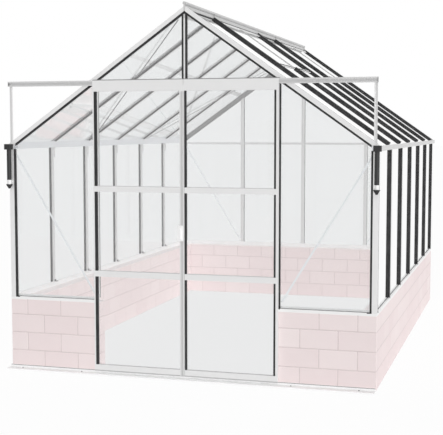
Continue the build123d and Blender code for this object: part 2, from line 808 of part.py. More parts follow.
# Sliding door leaves, hung on rollers in the overhead rail
leaf_outer = pier_end + door_overlap
leaf_inner = running_gap / 2
rail_gap_top = rail_bottom - running_gap
door_top = rail_top - hanger_drop
door_height = door_top - door_bottom
lower_rail_middle = door_bottom + door_height * lower_rail_share
upper_rail_middle = door_bottom + door_height * upper_rail_share
openings = [
    (door_bottom + bottom_rail, lower_rail_middle - lower_rail / 2),
    (lower_rail_middle + lower_rail / 2, upper_rail_middle - upper_rail / 2),
    (upper_rail_middle + upper_rail / 2, rail_bottom - header_drop),
]
for name, side in sides.items():
    inner_stile = meeting_stile if name == "left" else narrow_stile
    glass_inner = leaf_inner + inner_stile
    glass_outer = leaf_outer - door_stile
    pane_middle = side * (glass_inner + glass_outer) / 2
    pane_span = glass_outer - glass_inner

    with BuildPart() as leaf:
        with BuildSketch(Plane.XZ.offset(-door_back)):
            leaf_height = rail_gap_top - door_bottom
            with Locations((side * (leaf_inner + leaf_outer) / 2, door_bottom + leaf_height / 2)):
                Rectangle(leaf_outer - leaf_inner, leaf_height)
            for low, high in openings:
                with Locations((pane_middle, (low + high) / 2)):
                    Rectangle(pane_span, high - low, mode=Mode.SUBTRACT)
        extrude(amount=door_depth)
        with BuildSketch(Plane.XZ.offset(-door_front - hanger_plate)):
            with Locations((side * (leaf_inner + leaf_outer) / 2, (rail_gap_top + door_top) / 2)):
                Rectangle(leaf_outer - leaf_inner, door_top - rail_gap_top)
        extrude(amount=hanger_plate)
        with BuildSketch(Plane.YZ.offset(-half_width)):
            groove_top = track_height + track_rib_height + running_gap
            with Locations((door_middle_y, (door_bottom + groove_top) / 2)):
                Rectangle(track_rib_width + 2 * running_gap, groove_top - door_bottom)
        extrude(amount=wall_width, mode=Mode.SUBTRACT)
    write(leaf, f"{name}_door_frame")

    with BuildPart() as leaf_glass:
        with BuildSketch(Plane.XZ.offset(-door_front - door_glass_inset)):
            for low, high in openings:
                with Locations((pane_middle, (low + high) / 2)):
                    Rectangle(pane_span - 2 * seat_gap, high - low - 2 * seat_gap)
        extrude(amount=-glass_thickness)
    write(leaf_glass, f"{name}_door_glass")

    with BuildPart() as leaf_strips:
        strip_places = [glass_outer - seat_gap - gasket_width / 2]
        if name == "right":
            strip_places.append(glass_inner + seat_gap + gasket_width / 2)
        with BuildSketch(Plane.XZ.offset(-door_front - door_glass_inset + seat_gap)):
            for low, high in openings:
                with Locations(*[(side * place, (low + high) / 2) for place in strip_places]):
                    Rectangle(gasket_width, high - low - 2 * seat_gap)
        extrude(amount=door_glass_inset - seat_gap)
    write(leaf_strips, f"{name}_door_strips")

    with BuildPart() as rollers:
        roller_z = rail_bottom + rail_wall + seat_gap + roller_radius
        roller_back = front_y - (rail_depth - rail_wall - roller_width) / 2
        roller_places = [(side * (leaf_inner + roller_edge_inset), roller_z),
                         (side * (leaf_outer - roller_edge_inset), roller_z)]
        with BuildSketch(Plane.XZ.offset(-roller_back)):
            with Locations(*roller_places):
                Circle(roller_radius)
        extrude(amount=roller_width)
        with BuildSketch(Plane.XZ.offset(-roller_back)):
            with Locations(*roller_places):
                Circle(roller_axle_radius)
        extrude(amount=roller_back - door_front - hanger_plate)
    write(rollers, f"{name}_door_rollers")

# Handle plate and grip on the left leaf's meeting stile
with BuildPart() as handle:
    with BuildSketch(Plane.XZ.offset(-door_front)):
        with Locations((-leaf_inner - handle_width / 2, handle_middle)):
            RectangleRounded(handle_width, handle_height, handle_corner)
    extrude(amount=handle_plate)
    with BuildSketch(Plane.XZ.offset(-door_front + handle_plate)):
        with Locations((-leaf_inner - handle_width / 2, handle_middle)):
            RectangleRounded(handle_grip_width, handle_height * handle_grip_share, handle_grip_corner)
    extrude(amount=handle_grip)
write(handle, "door_handle")

# Downpipes at the front ends of the gutters: an end cap over a short pipe, a white collar and a funnel
pipe_x = half_width - pipe_inset
pipe_y = front_y - funnel_radius - seat_gap
pipe_places = [(-pipe_x, pipe_y), (pipe_x, pipe_y)]
cap_x = half_width + gutter_reach - pipe_cap_width / 2
cap_bottom = eave_height + pipe_cap_rise - pipe_cap_height
pipe_bottom = cap_bottom - pipe_length
collar_bottom = pipe_bottom - collar_height
with BuildPart() as downpipes:
    with BuildSketch(Plane.XY.offset(cap_bottom)):
        with Locations((-cap_x, pipe_y), (cap_x, pipe_y)):
            RectangleRounded(pipe_cap_width, 2 * funnel_radius, pipe_cap_corner)
    extrude(amount=pipe_cap_height)
    with BuildSketch(Plane.XY.offset(pipe_bottom)):
        with Locations(*pipe_places):
            Circle(pipe_radius)
    extrude(amount=pipe_length)
    for x, y in pipe_places:
        with BuildSketch(Plane(origin=(x, y, collar_bottom), x_dir=(1, 0, 0), z_dir=(0, -1, 0))):
            with BuildLine():
                Polyline(
                    (0, 0),
                    (funnel_radius, 0),
                    (funnel_radius, -funnel_lip),
                    (funnel_tip_radius, -funnel_height),
                    (0, -funnel_height),
                    close=True,
                )
            make_face()
        revolve(axis=Axis((x, y, collar_bottom), (0, 0, 1)))
write(downpipes, "downpipes")

with BuildPart() as collars:
    with BuildSketch(Plane.XY.offset(collar_bottom)):
        with Locations(*pipe_places):
            Circle(collar_radius)
    extrude(amount=collar_height)
write(collars, "downpipe_collars")
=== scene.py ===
import math
import random

import bmesh
import bpy
from mathutils import Matrix, Vector


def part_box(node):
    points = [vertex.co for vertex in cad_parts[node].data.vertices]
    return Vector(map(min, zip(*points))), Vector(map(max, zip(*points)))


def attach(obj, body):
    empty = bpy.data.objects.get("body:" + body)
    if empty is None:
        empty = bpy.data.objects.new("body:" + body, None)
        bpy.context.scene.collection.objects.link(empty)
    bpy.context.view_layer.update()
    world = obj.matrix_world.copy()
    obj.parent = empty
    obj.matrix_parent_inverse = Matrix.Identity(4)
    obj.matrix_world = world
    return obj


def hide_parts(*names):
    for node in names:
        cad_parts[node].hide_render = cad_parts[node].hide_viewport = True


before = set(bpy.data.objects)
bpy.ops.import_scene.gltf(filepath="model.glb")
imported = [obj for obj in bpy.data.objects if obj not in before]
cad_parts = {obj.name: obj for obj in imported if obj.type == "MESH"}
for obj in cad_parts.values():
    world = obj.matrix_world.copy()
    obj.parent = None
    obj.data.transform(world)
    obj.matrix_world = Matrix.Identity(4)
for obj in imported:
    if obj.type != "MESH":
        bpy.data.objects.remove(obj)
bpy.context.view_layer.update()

# Dwarf wall: four courses of pressed pink blocks, 294 by 148 mm with the joint, lapped and laid in thin
# mortar on level ground. The blocks have a soft arris and a fine sandy face; the wall's top is painted paler,
# as painted light. The corners are bonded: each course runs through one way and is stopped by the other, turn
# about.


class Field:
    """A shader socket that takes part in plain arithmetic."""

    def __init__(self, socket):
        self.socket = socket

    def node(self, kind, settings, inputs, output=0):
        """Any other node of the same tree: its settings first, then the values or links of its sockets."""
        tree = self.socket.id_data
        made = tree.nodes.new("ShaderNode" + kind)
        for name, value in settings.items():
            setattr(made, name, value)
        for name, value in inputs.items():
            if isinstance(value, Field):
                tree.links.new(value.socket, made.inputs[name])
            else:
                made.inputs[name].default_value = value
        return Field(made.outputs[output])

    def math(self, operation, first, second):
        return self.node("Math", {"operation": operation}, {0: first, 1: second})

    def __add__(self, other):
        return self.math("ADD", self, other)

    def __sub__(self, other):
        return self.math("SUBTRACT", self, other)

    def __rsub__(self, other):
        return self.math("SUBTRACT", other, self)

    def __mul__(self, other):
        return self.math("MULTIPLY", self, other)

    def __pow__(self, other):
        return self.math("POWER", self, other)

    def __abs__(self):
        return self.math("ABSOLUTE", self, 0.0)

    __radd__ = __add__
    __rmul__ = __mul__

    def along(self, axis):
        """One coordinate of this place."""
        return self.node("SeparateXYZ", {}, {"Vector": self}, axis)

    def noise(self, scale, detail, roughness=0.5):
        """Soft noise over this place, about 0.5 on average."""
        return self.node("TexNoise", {}, {
            "Vector": self, "Scale": scale, "Detail": detail, "Roughness": roughness})

    def clamped(self, low, high):
        """This value from low..high spread over 0..1 and held there."""
        return self.node("MapRange", {}, {"Value": self, "From Min": low, "From Max": high})

    def beyond(self, edge, fade=0.001):
        """0 short of an edge and 1 past it, with a narrow fade."""
        return self.clamped(edge - fade, edge + fade)

    def blend(self, first, second):
        """A colour between two, by this value as the share of the second."""
        return self.node("Mix", {"data_type": "RGBA"}, {0: self, 6: first, 7: second}, 2)

    def bump(self, strength, distance):
        """A normal that takes this value as height."""
        return self.node("Bump", {}, {"Height": self, "Strength": strength, "Distance": distance})


def new_finish(name):
    """An empty material, and the place on the piece as a field."""
    finish = bpy.data.materials.new(name)
    finish.use_nodes = True
    finish.node_tree.nodes.clear()
    place = finish.node_tree.nodes.new("ShaderNodeTexCoord")
    return finish, Field(place.outputs["Object"])


def close_finish(finish, surface):
    """Joins a shader to the material's output."""
    output = finish.node_tree.nodes.new("ShaderNodeOutputMaterial")
    finish.node_tree.links.new(surface.socket, output.inputs["Surface"])
    return finish


def add_box(bm, low, high, arris, stand=Matrix()):
    """A box between two corners of a stand, with bevelled edges; gives its faces."""
    low = Vector(low)
    high = Vector(high)
    place = stand @ Matrix.Translation((low + high) / 2) @ Matrix.Diagonal((*(high - low), 1))
    made = bmesh.ops.create_cube(bm, size=1, matrix=place)
    edges = list({edge for vert in made["verts"] for edge in vert.link_edges})
    made = bmesh.ops.bevel(bm, geom=edges, offset=arris, affect="EDGES", segments=2, profile=0.5,
                           material=-1)
    return {face for vert in made["verts"] for face in vert.link_faces}


def finished(bm, name, finish, body="root"):
    """The bmesh as a named piece with a finish, riding on a body."""
    mesh = bpy.data.meshes.new(name)
    bm.to_mesh(mesh)
    bm.free()
    mesh.materials.append(finish)
    piece = bpy.data.objects.new(name, mesh)
    bpy.context.scene.collection.objects.link(piece)
    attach(piece, body)
    return piece


block_length = 0.294
course_height = 0.148
joint = 0.006
joint_recess = 0.0016
block_arris = 0.003
shortest_block = 0.06
block_pink = (0.815, 0.712, 0.714, 1)
block_pale = (0.865, 0.782, 0.777, 1)
painted_light_top = (0.960, 0.900, 0.900, 1)
mortar_pale = (0.740, 0.650, 0.650, 1)
mortar_dark = (0.640, 0.560, 0.560, 1)
tone_share = 0.6
cloud_scale = 9.0
sand_scale = 420.0
sand_coarseness = 0.7
sandy_roughness = 0.82
pit_scale = 150.0
pit_edges = (0.62, 0.74)
pit_shade = 0.25
mortar_cloud_scale = 60.0
mortar_grain_scale = 300.0
mortar_roughness = 0.95

wall_low, wall_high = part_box("back_wall")
wall_left, wall_right = wall_low.x, wall_high.x
wall_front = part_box("front_left_wall")[0].y
wall_back = wall_high.y
wall_top = wall_high.z
wall_thick = wall_high.y - wall_low.y
course_count = math.ceil(wall_top / course_height)

block_face, place = new_finish("pink_block")
tone = place.node("Attribute", {"attribute_name": "tone"}, {}, "Fac")
cloud = place.noise(cloud_scale, detail=4.0)
sand = place.noise(sand_scale, detail=3.0, roughness=sand_coarseness)
pits = place.noise(pit_scale, detail=2.0).clamped(*pit_edges)
# painted light: the top face of the wall is painted paler than the sides of the blocks
top_face = place.along("Z").clamped(wall_top - block_arris, wall_top - block_arris / 2)
colour = (tone * tone_share + cloud * (1 - tone_share)).blend(block_pink, block_pale)
colour = (pits * pit_shade).blend(colour, mortar_dark)
close_finish(block_face, place.node("BsdfPrincipled", {}, {
    "Base Color": top_face.blend(colour, painted_light_top), "Roughness": sand * 0.12 + sandy_roughness,
    "Specular IOR Level": 0.25, "Normal": (sand - pits).bump(strength=0.35, distance=0.0012)}))

mortar_face, place = new_finish("wall_mortar")
close_finish(mortar_face, place.node("BsdfPrincipled", {}, {
    "Base Color": place.noise(mortar_cloud_scale, detail=4.0).blend(mortar_dark, mortar_pale),
    "Roughness": mortar_roughness,
    "Normal": place.noise(mortar_grain_scale, detail=3.0).bump(strength=0.5, distance=0.002)}))

laying = random.Random(7)


def course_corners(low, high, axis, course):
    """Two corners of one course: gable walls run through in even courses, long walls in odd ones."""
    first, last = Vector(low), Vector(high)
    first.z = course * course_height
    last.z = min(first.z + course_height - joint, wall_top)
    gables_through = course % 2 == 0
    if axis == 1 and gables_through:
        first.y += joint
        last.y -= joint
    elif axis == 1:
        first.y, last.y = wall_front, wall_back
    elif not gables_through:
        if low.x == wall_left:
            first.x += wall_thick + joint
        if high.x == wall_right:
            last.x -= wall_thick + joint
    return first, last


def lay_wall(name, axis):
    """Blocks and mortar of one wall that runs along an axis."""
    low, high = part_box(name)
    from_right_corner = axis == 0 and high.x == wall_right and low.x > wall_left
    bm = bmesh.new()
    tone_layer = bm.faces.layers.float.new("tone")
    for course in range(course_count):
        first, last = course_corners(low, high, axis, course)
        run = last[axis] - first[axis]
        joints = [0.0]
        while run - joints[-1] - block_length > shortest_block:
            joints.append(joints[-1] + block_length)
        joints.append(run + joint)
        for start, end in zip(joints, joints[1:]):
            block_low, block_high = Vector(first), Vector(last)
            if from_right_corner:
                block_low[axis] = last[axis] - end + joint
                block_high[axis] = last[axis] - start
            else:
                block_low[axis] = first[axis] + start
                block_high[axis] = first[axis] + end - joint
            block_tone = laying.random()
            for face in add_box(bm, block_low, block_high, block_arris):
                face[tone_layer] = block_tone
    blocks = finished(bm, name + "_blocks", block_face)
    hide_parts(name)
    bm = bmesh.new()
    recess = Vector((joint_recess, joint_recess, 0))
    if axis == 1:
        recess.y = -joint
    add_box(bm, low + recess, high - recess - Vector((0, 0, joint_recess)), joint_recess / 2)
    finished(bm, name + "_mortar", mortar_face)


for gable_wall in ("front_left_wall", "front_right_wall", "back_wall"):
    lay_wall(gable_wall, axis=0)
for long_wall in ("left_wall", "right_wall"):
    lay_wall(long_wall, axis=1)

# Aluminium frame: extruded bars, posts and rafters in a pale mill finish, screwed together through their
# stems. The metal is satin, with faint drawing lines and a slightly cloudy oxide skin. The wall bars are
# painted a little darker than the frame, and the back rafters and the doorway side of the door posts are
# painted much darker, all as painted shade.


def dress(finish, *names):
    """Gives a finish to CAD pieces that keep their own shape."""
    for name in names:
        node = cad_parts[name]
        node.data.materials.clear()
        node.data.materials.append(finish)


def inner_face(name):
    """How near a piece comes to the middle line of the house."""
    return min(abs(vert.co.x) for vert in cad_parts[name].data.vertices)


def grey(level):
    """A neutral colour."""
    return level, level, level, 1


oxide_scale = 5.0
oxide_share = 0.7
drawing_scale = 900.0
drawing_coarseness = 0.6


def satin_metal(name, bright, dull, metallic=0.25, rough=0.34):
    """Drawn aluminium: a cloudy oxide tone between two greys, fine drawing grain and soft gloss."""
    finish, place = new_finish(name)
    oxide = place.noise(oxide_scale, detail=3.0)
    drawing = place.noise(drawing_scale, detail=2.0, roughness=drawing_coarseness)
    tone = oxide * oxide_share + drawing * (1 - oxide_share)
    return close_finish(finish, place.node("BsdfPrincipled", {}, {
        "Base Color": tone.blend(grey(dull), grey(bright)), "Metallic": metallic,
        "Roughness": oxide * 0.12 + drawing * 0.08 + rough,
        "Normal": drawing.bump(strength=0.06, distance=0.0004)}))


def toned_metal(finish, place, colour, metallic=0.2, rough=0.36):
    """Satin aluminium in a colour that changes over the piece."""
    oxide = place.noise(oxide_scale, detail=3.0)
    return close_finish(finish, place.node("BsdfPrincipled", {}, {
        "Base Color": colour, "Metallic": metallic, "Roughness": oxide * 0.15 + rough}))


frame_bright = 0.82
frame_dull = 0.75
frame_metal = satin_metal("frame_aluminium", frame_bright, frame_dull)
dress(frame_metal, "corner_posts", "front_rafters", "door_lintel", "door_mullion",
      "left_door_frame", "right_door_frame")
# painted shade: the wall bars are painted darker than the frame, and the back rafters much darker
bar_metal = satin_metal("bar_aluminium", bright=0.70, dull=0.62)
dress(bar_metal, "side_wall_bars")
dress(satin_metal("back_bar_aluminium", bright=0.74, dull=0.66), "back_wall_bars", "back_cross_bars")
dress(satin_metal("rafter_aluminium", bright=0.40, dull=0.32), "back_rafters")

# painted shade: the doorway side of each door post is painted dark grey
doorway_shade = 0.30
shaded_width = 0.005
post_metal, place = new_finish("door_post_aluminium")
post_tone = place.noise(oxide_scale, detail=3.0).blend(grey(frame_dull), grey(frame_bright))
open_face = abs(place.along("X")).beyond(inner_face("door_posts") + shaded_width)
toned_metal(post_metal, place, open_face.blend(grey(doorway_shade), post_tone), metallic=0.25)
dress(post_metal, "door_posts")

# Sills: pale extrusions bedded on the wall top, with a snapped-on bead over the strip at the foot of each
# pane. The bead stops short of the glass, so a thin dark line of rubber is left along the pane.
bar_pitch = 0.740
post_width = 0.040
bar_clear = 0.022
corner_clear = 0.056
bead_width = 0.0125
bead_proud = 0.001
bead_arris = 0.0008
side_bead_height = 0.0110
gable_bead_height = 0.0070
sill_metal = satin_metal("sill_aluminium", bright=0.90, dull=0.84, metallic=0.15, rough=0.38)
dress(sill_metal, "wall_sills")
bead_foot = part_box("side_wall_strips")[0].z
long_bays = round((wall_back - wall_front - post_width) / bar_pitch)
gable_bays = round((wall_right - wall_left - post_width) / bar_pitch)
bar_places = [wall_front + post_width / 2 + bay * bar_pitch for bay in range(long_bays + 1)]
gable_places = [wall_left + post_width / 2 + bay * bar_pitch for bay in range(gable_bays + 1)]


def bead_run(places, bay):
    """From where to where a bead runs in a bay, short of the bar or corner post at each end."""
    start_clear = corner_clear if bay == 0 else bar_clear
    end_clear = corner_clear if bay == len(places) - 2 else bar_clear
    return places[bay] + start_clear, places[bay + 1] - end_clear


def add_side_box(bm, side, inner, outer, arris):
    """A box between two corners on the right of the house, or its mirror image on the left (side -1)."""
    low_x, high_x = sorted((side * inner[0], side * outer[0]))
    add_box(bm, (low_x, *inner[1:]), (high_x, *outer[1:]), arris)


bm = bmesh.new()
for side in (-1, 1):
    for bay in range(long_bays):
        start, end = bead_run(bar_places, bay)
        add_side_box(bm, side, (wall_right - bead_width, start, bead_foot),
                     (wall_right + bead_proud, end, bead_foot + side_bead_height), bead_arris)
glazed_bays = ((wall_front, 1, (0, gable_bays - 1)), (wall_back, -1, range(gable_bays)))
for face, inward, bays in glazed_bays:
    low_y, high_y = sorted((face - inward * bead_proud, face + inward * bead_width))
    for bay in bays:
        start, end = bead_run(gable_places, bay)
        add_box(bm, (start, low_y, bead_foot), (end, high_y, bead_foot + gable_bead_height), bead_arris)
finished(bm, "sill_beads", sill_metal)

# Bar brackets: folded zinc-plated cleats screw the foot of each wall bar to the sill, on the inner side. A
# drawn aluminium cleat does the same at the head, under the eave.
cleat_width = 0.030
cleat_plate = 0.004
cleat_arris = 0.001
foot_reach = 0.026
foot_rise = 0.018
head_width = 0.020
head_reach = 0.012
head_drop = 0.085
head_arris = 0.002
cleat_finish = satin_metal("zinc_cleat", bright=0.30, dull=0.22, metallic=0.5, rough=0.40)
bar_inner = inner_face("side_wall_bars")
sill_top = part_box("wall_sills")[1].z
eave_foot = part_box("left_eave_gutter")[0].z
feet = bmesh.new()
heads = bmesh.new()
for side in (-1, 1):
    for bar_y in bar_places[1:-1]:
        low_y, high_y = bar_y - cleat_width / 2, bar_y + cleat_width / 2
        add_side_box(feet, side, (bar_inner - foot_reach, low_y, sill_top),
                     (bar_inner, high_y, sill_top + cleat_plate), cleat_arris)
        add_side_box(feet, side, (bar_inner - cleat_plate, low_y, sill_top),
                     (bar_inner, high_y, sill_top + foot_rise), cleat_arris)
        low_y, high_y = bar_y - head_width / 2, bar_y + head_width / 2
        add_side_box(heads, side, (bar_inner - head_reach, low_y, eave_foot - head_drop),
                     (bar_inner, high_y, eave_foot), head_arris)
finished(feet, "bar_foot_cleats", cleat_finish)
finished(heads, "bar_head_cleats", bar_metal)

# Glazing strips: black rubber, extruded, cut to length and pressed in beside every bar over the edge of the
# glass. The rubber is matte and slightly dusty.
rubber_black = (0.012, 0.012, 0.013, 1)
rubber_dusty = (0.045, 0.045, 0.046, 1)
rubber_dust_scale = 14.0
rubber_dust_edges = (0.40, 0.75)
rubber_dust_share = 0.5
rubber_skin_scale = 500.0
rubber_roughness = 0.5
rubber, place = new_finish("black_rubber")
dust = place.noise(rubber_dust_scale, detail=4.0).clamped(*rubber_dust_edges)
skin = place.noise(rubber_skin_scale, detail=2.0)
close_finish(rubber, place.node("BsdfPrincipled", {}, {
    "Base Color": (dust * rubber_dust_share).blend(rubber_black, rubber_dusty),
    "Roughness": skin * 0.15 + rubber_roughness, "Specular IOR Level": 0.4,
    "Normal": skin.bump(strength=0.12, distance=0.0005)}))
dress(rubber, "side_wall_strips", "roof_strips", "gable_strips", "left_door_strips", "right_door_strips")

# Panes: 4 mm float glass, faintly grey-green, held to the bars by the strips. It is clear face on and bright
# where it is seen along its face. A thin film of dust veils what is behind a pane a little.
glass_tint = (0.988, 0.990, 0.990, 1)
mirror_tint = (0.970, 0.975, 0.975, 1)
film_dark = (0.700, 0.705, 0.710, 1)
film_pale = (0.760, 0.765, 0.770, 1)
film_roughness = 0.9
film_change = 0.02
face_on_gloss = 0.02
gloss_change = 0.01
mirror_sharpness = 10.0
mirror_roughness = 0.004
wave_scale = 1.6


def float_glass(name, grazing, veil):
    """Clear glass: see-through face on, mirror-like at a low angle, with a faint even veil."""
    finish, place = new_finish(name)
    facing = place.node("LayerWeight", {}, {"Blend": 0.5}, "Facing")
    wave = place.noise(wave_scale, detail=1.0)
    mirror = place.node("BsdfPrincipled", {}, {
        "Base Color": mirror_tint, "Metallic": 1.0, "Roughness": wave * mirror_roughness})
    clear = place.node("BsdfTransparent", {}, {"Color": glass_tint})
    film = place.node("BsdfPrincipled", {}, {
        "Base Color": wave.blend(film_dark, film_pale), "Roughness": film_roughness})
    film_share = wave * film_change + (veil - film_change / 2)
    veiled = place.node("MixShader", {}, {0: film_share, 1: clear, 2: film})
    edge_on = (facing * grazing).clamped(0.0, 1.0) ** mirror_sharpness
    face_on = wave * gloss_change + (face_on_gloss - gloss_change / 2)
    mirror_share = edge_on * (1.0 - face_on_gloss) + face_on
    return close_finish(finish, place.node("MixShader", {}, {0: mirror_share, 1: veiled, 2: mirror}))


dress(float_glass("float_glass", grazing=1.16, veil=0.05),
      "left_wall_glass", "right_wall_glass", "right_roof_glass", "front_gable_glass", "back_gable_glass",
      "roof_vent_glass", "left_door_glass", "right_door_glass")
dress(float_glass("roof_glass", grazing=1.185, veil=0.02), "left_roof_glass")

# Gutters, overhead rail and its struts: drawn aluminium a shade greyer than the frame, screwed to the posts;
# the gutters' inner side is painted paler and slightly blue, as painted light. Pressed caps close the rail's
# ends, a thin dark strip along its top over the doors is painted shade, and a thin flange stiffens each
# strut.
gutter_bright = 0.67
gutter_dull = 0.58
painted_light_gutter_inside = (0.725, 0.740, 0.760, 1)
cap_plate = 0.004
cap_arris = 0.001
rail_shade_line_half_length = 0.755
rail_shade_line_height = 0.006
rail_shade_line_set_back = 0.002
rail_shade_line_arris = 0.0005
strut_width = 0.016
flange_reach = 0.009
flange_plate = 0.003
flange_lift = 0.020
dress(satin_metal("rail_aluminium", bright=0.68, dull=0.59, metallic=0.35, rough=0.30),
      "door_rail", "rail_struts")
gutter_metal, place = new_finish("gutter_aluminium")
gutter_tone = place.noise(oxide_scale, detail=3.0).blend(grey(gutter_dull), grey(gutter_bright))
# painted light: the inner side of the gutters is painted paler and slightly blue
painted_light_inside = 1.0 - abs(place.along("X")).beyond(inner_face("right_wall_glass"))
toned_metal(gutter_metal, place, painted_light_inside.blend(gutter_tone, painted_light_gutter_inside), rough=0.34)
dress(gutter_metal, "left_eave_gutter", "right_eave_gutter")
rail_low, rail_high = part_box("door_rail")
strut_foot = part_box("rail_struts")[0].z
strut_inner = rail_high.x - strut_width
caps = bmesh.new()
flanges = bmesh.new()
for side in (-1, 1):
    add_side_box(caps, side, (rail_high.x, rail_low.y, rail_low.z),
                 (rail_high.x + cap_plate, rail_high.y, rail_high.z), cap_arris)
    add_side_box(flanges, side, (strut_inner - flange_reach, wall_front, strut_foot + flange_lift),
                 (strut_inner, wall_front + flange_plate, rail_low.z), cap_arris)
# painted shade: a thin dark strip along the rail's top over the doors
add_box(caps, (-rail_shade_line_half_length, rail_low.y + rail_shade_line_set_back, rail_high.z),
        (rail_shade_line_half_length, rail_high.y, rail_high.z + rail_shade_line_height), rail_shade_line_arris)
finished(caps, "rail_end_caps_and_shade_line", cleat_finish)
finished(flanges, "strut_flanges", frame_metal)

# Ridge: a drawn beam with a rounded cap on a tall fin, bolted between the gables. A thin dark strip under
# the cap on each side is painted shade, and a zinc hook hangs over two of the bars for the vent rods.
fin_half = 0.006
ridge_shade_drop = 0.024
ridge_shade_height = 0.004
ridge_shade_proud = 0.001
ridge_shade_end_gap = 0.002
ridge_shade_arris = 0.0005
hook_bars = (1, 4)
hook_reach = 0.012
hook_radius = 0.0025
hook_top_drop = 0.018
hook_foot_drop = 0.055
hook_sides = 10
knob_radius = 0.006
knob_rings = 6
arm_width = 0.008
arm_thick = 0.004
arm_arris = 0.0008
dress(satin_metal("ridge_aluminium", bright=0.60, dull=0.51, metallic=0.35, rough=0.30), "ridge_beam")
ridge_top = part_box("ridge_beam")[1].z
ridge_shade_top = ridge_top - ridge_shade_drop
ridge_shade_foot = ridge_shade_top - ridge_shade_height
hook_top = ridge_top - hook_top_drop
hook_foot = ridge_top - hook_foot_drop
bm = bmesh.new()
# painted shade: a thin dark strip along each side of the ridge fin, under the cap
for side in (-1, 1):
    add_side_box(bm, side, (fin_half - ridge_shade_proud, wall_front + ridge_shade_end_gap, ridge_shade_foot),
                 (fin_half + ridge_shade_proud, wall_back - ridge_shade_end_gap, ridge_shade_top), ridge_shade_arris)
for bar in hook_bars:
    bar_y = bar_places[bar]
    pin_stand = Matrix.Translation((hook_reach, bar_y, (hook_top + hook_foot) / 2))
    knob_stand = Matrix.Translation((hook_reach, bar_y, hook_foot))
    bmesh.ops.create_cone(bm, cap_ends=True, segments=hook_sides, radius1=hook_radius, radius2=hook_radius,
                          depth=hook_top - hook_foot, matrix=pin_stand)
    bmesh.ops.create_uvsphere(bm, u_segments=hook_sides, v_segments=knob_rings, radius=knob_radius,
                              matrix=knob_stand)
    add_box(bm, (0.0, bar_y - arm_width / 2, hook_foot - arm_thick / 2),
            (hook_reach, bar_y + arm_width / 2, hook_foot + arm_thick / 2), arm_arris)
finished(bm, "ridge_hooks_and_shade_lines", cleat_finish)

# Roof bars: drawn bars screwed to the ridge and to the eaves. The flange lies in shadow against the glass
# and is dark; only the stem that hangs below it is bright.
stem_bright = 0.84
flange_shade = 0.15
shaded_depth = 0.0115
pane_normals = [face.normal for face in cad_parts["right_roof_glass"].data.polygons]
off_slope = max(pane_normals, key=lambda normal: normal.z).copy()
down_slope = Vector((off_slope.z, 0, -off_slope.x))


def reach(name, direction):
    """How far a piece reaches along a direction, from the origin."""
    return max(vert.co.dot(direction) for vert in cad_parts[name].data.vertices)


roof_bar_metal, place = new_finish("roof_bar_aluminium")
depth = abs(place.along("X")) * off_slope.x + place.along("Z") * off_slope.z
shaded = depth.beyond(reach("right_roof_glass", off_slope) - shaded_depth)
toned_metal(roof_bar_metal, place, shaded.blend(grey(stem_bright), grey(flange_shade)))
dress(roof_bar_metal, "roof_bars")

# Roof vents: each sash closes against a black rubber seal along its far side and its foot, and turns on a
# dark hinge bead under the ridge. Everything here lies in the plane of the right slope. The sash's far
# member is painted near black and its mid bar greyer than the rest, as painted shade.
sash_bars = ((1, 3), (4, 6))
sash_side = 0.022
seal_inset = 0.006
seal_top_gap = 0.010
seal_width = 0.016
seal_arris = 0.001
foot_seal_width = 0.010
foot_seal_height = 0.003
hinge_width = 0.008
hinge_height = 0.004
sash_top = -reach("roof_vent_frames", -down_slope)
sash_foot = reach("roof_vent_frames", down_slope)
sash_face = reach("roof_vent_frames", off_slope)
bar_face = reach("roof_bars", off_slope)
slope_stand = Matrix((down_slope, (0, 1, 0), off_slope)).transposed().to_4x4()
bm = bmesh.new()
for first_bar, last_bar in sash_bars:
    near = bar_places[first_bar] + sash_side + seal_inset
    far = bar_places[last_bar] - sash_side - seal_inset
    add_box(bm, (sash_top + seal_top_gap, far - seal_width, sash_face), (sash_foot, far, bar_face),
            seal_arris, slope_stand)
    add_box(bm, (sash_foot - foot_seal_width, near, sash_face),
            (sash_foot, far, sash_face + foot_seal_height), seal_arris, slope_stand)
    add_box(bm, (sash_top, near, sash_face), (sash_top + hinge_width, far, sash_face + hinge_height),
            seal_arris, slope_stand)
finished(bm, "vent_seals", rubber)

sash_bright = 0.80
mid_bar_shade = 0.42
far_member_shade = 0.03
far_member_width = 0.034
mid_bar_half = 0.012
sash_metal, place = new_finish("sash_aluminium")
off_far_member = off_mid_bar = 1.0
for first_bar, last_bar in sash_bars:
    far_middle = bar_places[last_bar] - sash_side - far_member_width / 2
    sash_middle = (bar_places[first_bar] + bar_places[last_bar]) / 2
    off_far_member = abs(place.along("Y") - far_middle).beyond(far_member_width / 2) * off_far_member
    off_mid_bar = abs(place.along("Y") - sash_middle).beyond(mid_bar_half) * off_mid_bar
# painted shade: the sash's far member is painted near black and its mid bar grey
sash_tone = off_mid_bar.blend(grey(mid_bar_shade), grey(sash_bright))
toned_metal(sash_metal, place, off_far_member.blend(grey(far_member_shade), sash_tone))
dress(sash_metal, "roof_vent_frames")

# Wind braces: flat drawn strips, screwed to the bars at their ends and slightly scuffed. Behind the gable
# glass they are painted pale and slightly blue, as painted reflection; under the roof they are painted dark,
# as painted shade.
brace_painted_reflection = (0.795, 0.815, 0.835, 1)
brace_painted_shade = 0.24
brace_fade = 0.02
brace_roughness = 0.35
scuff_scale = 40.0
brace_metal, place = new_finish("brace_strip")
# painted reflection behind the gable glass, painted shade under the roof
under_roof = place.along("Z").clamped(eave_foot, eave_foot + brace_fade)
scuff = place.noise(scuff_scale, detail=3.0)
close_finish(brace_metal, place.node("BsdfPrincipled", {}, {
    "Base Color": under_roof.blend(brace_painted_reflection, grey(brace_painted_shade)), "Metallic": under_roof * 0.3,
    "Roughness": scuff * 0.2 + brace_roughness}))
dress(brace_metal, "wind_braces")
